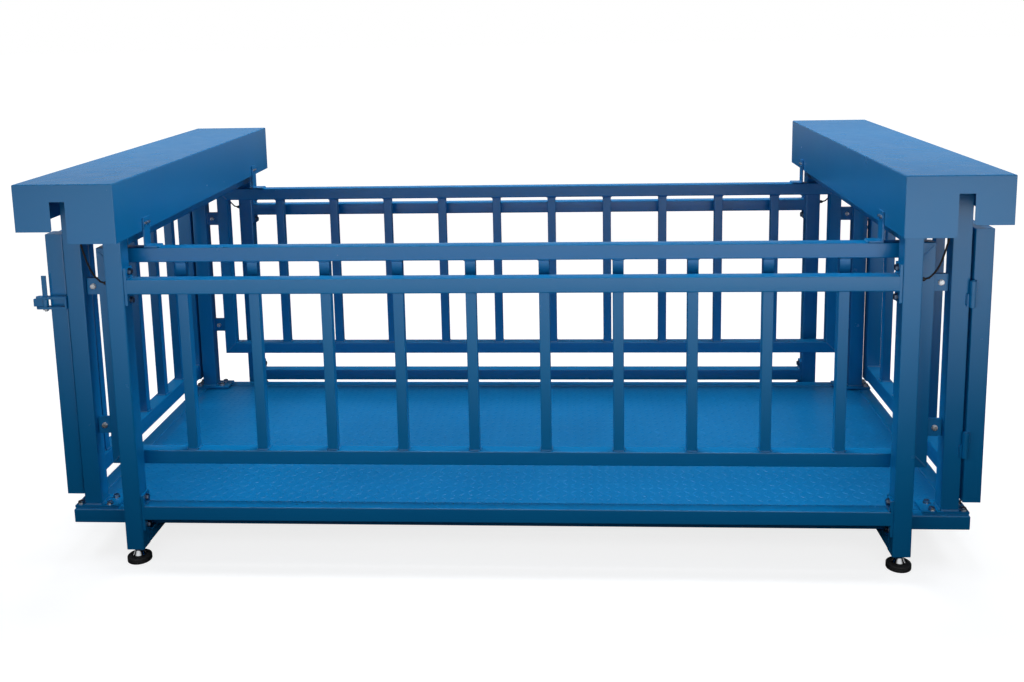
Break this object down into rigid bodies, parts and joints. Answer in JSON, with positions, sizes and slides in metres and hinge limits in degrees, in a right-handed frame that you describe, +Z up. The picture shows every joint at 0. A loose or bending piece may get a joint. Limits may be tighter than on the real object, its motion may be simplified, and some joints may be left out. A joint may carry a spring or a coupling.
{
  "type": "livestock scale",
  "caption": "Walk-through weighing crate with barred sides and end gates, hung on load cells inside a standing tube frame with levelling feet.",
  "frame": {"origin": "on the floor under the middle of the deck", "axes": "+X along the crate towards the right gate, +Z up, -Y towards the viewer of the picture"},
  "size_m": [3.172, 1.67, 1.3076],
  "materials": {
    "blue_paint": "smooth semi-gloss powder coat",
    "rubber": "matte moulded",
    "chrome": "bright turned",
    "cell_steel": "plated",
    "cable_sheath": "matte"
  },
  "bodies": {
    "frame_and_crate": {"outer_post_front_left": "blue_paint", "outer_post_front_right": "blue_paint", "outer_post_rear_left": "blue_paint", "outer_post_rear_right": "blue_paint", "top_side_beam_left": "blue_paint", "top_side_beam_right": "blue_paint", "lower_side_rail_left": "blue_paint", "lower_side_rail_right": "blue_paint", "tie_rail_front_upper": "blue_paint", "tie_rail_front_lower": "blue_paint", "tie_rail_rear_upper": "blue_paint", "tie_rail_rear_lower": "blue_paint", "foot_pad_front_left": "rubber", "foot_pad_front_right": "rubber", "foot_pad_rear_left": "rubber", "foot_pad_rear_right": "rubber", "foot_stem_front_left": "chrome", "foot_stem_front_right": "chrome", "foot_stem_rear_left": "chrome", "foot_stem_rear_right": "chrome", "load_cell_front_left": "cell_steel", "load_cell_front_right": "cell_steel", "load_cell_rear_left": "cell_steel", "load_cell_rear_right": "cell_steel", "load_button_front_left": "chrome", "load_button_front_right": "chrome", "load_button_rear_left": "chrome", "load_button_rear_right": "chrome", "deck_frame": "blue_paint", "tread_plate": "blue_paint", "hanger_post_front_left": "blue_paint", "hanger_post_front_right": "blue_paint", "hanger_post_rear_left": "blue_paint", "hanger_post_rear_right": "blue_paint", "hanger_beam_left": "blue_paint", "hanger_beam_right": "blue_paint", "fence_front": "blue_paint", "fence_rear": "blue_paint", "cover_left": "blue_paint", "cover_right": "blue_paint", "cover_strap_front_left": "blue_paint", "cover_strap_front_right": "blue_paint", "cover_strap_rear_left": "blue_paint", "cover_strap_rear_right": "blue_paint", "latch_bracket_left": "blue_paint", "latch_bracket_right": "blue_paint", "cell_cable_front_left": "cable_sheath", "cell_cable_front_right": "cable_sheath", "cell_cable_rear_left": "cable_sheath", "cell_cable_rear_right": "cable_sheath", "cable_gland_front_left": "cable_sheath", "cable_gland_front_right": "cable_sheath", "cable_gland_rear_left": "cable_sheath", "cable_gland_rear_right": "cable_sheath"},
    "gate_left": {"gate_left": "blue_paint"},
    "gate_right": {"gate_right": "blue_paint"},
    "latch_lever_left": {"latch_lever_left": "blue_paint"},
    "latch_lever_right": {"latch_lever_right": "blue_paint"}
  },
  "joints": [
    {"name": "gate_left_hinge", "type": "hinge", "parent": "frame_and_crate", "child": "gate_left", "pos_m": [-1.4745, 0.6403, 0.65], "axis": [0, 0, -1], "range_deg": [0, 180]},
    {"name": "gate_right_hinge", "type": "hinge", "parent": "frame_and_crate", "child": "gate_right", "pos_m": [1.4745, -0.6403, 0.65], "axis": [0, 0, -1], "range_deg": [0, 180]},
    {"name": "latch_lever_left_turn", "type": "hinge", "parent": "frame_and_crate", "child": "latch_lever_left", "pos_m": [-1.546, -0.626, 0.878], "axis": [0, 0, -1], "range_deg": [0, 90]},
    {"name": "latch_lever_right_turn", "type": "hinge", "parent": "frame_and_crate", "child": "latch_lever_right", "pos_m": [1.546, 0.626, 0.878], "axis": [0, 0, -1], "range_deg": [0, 90]}
  ]
}
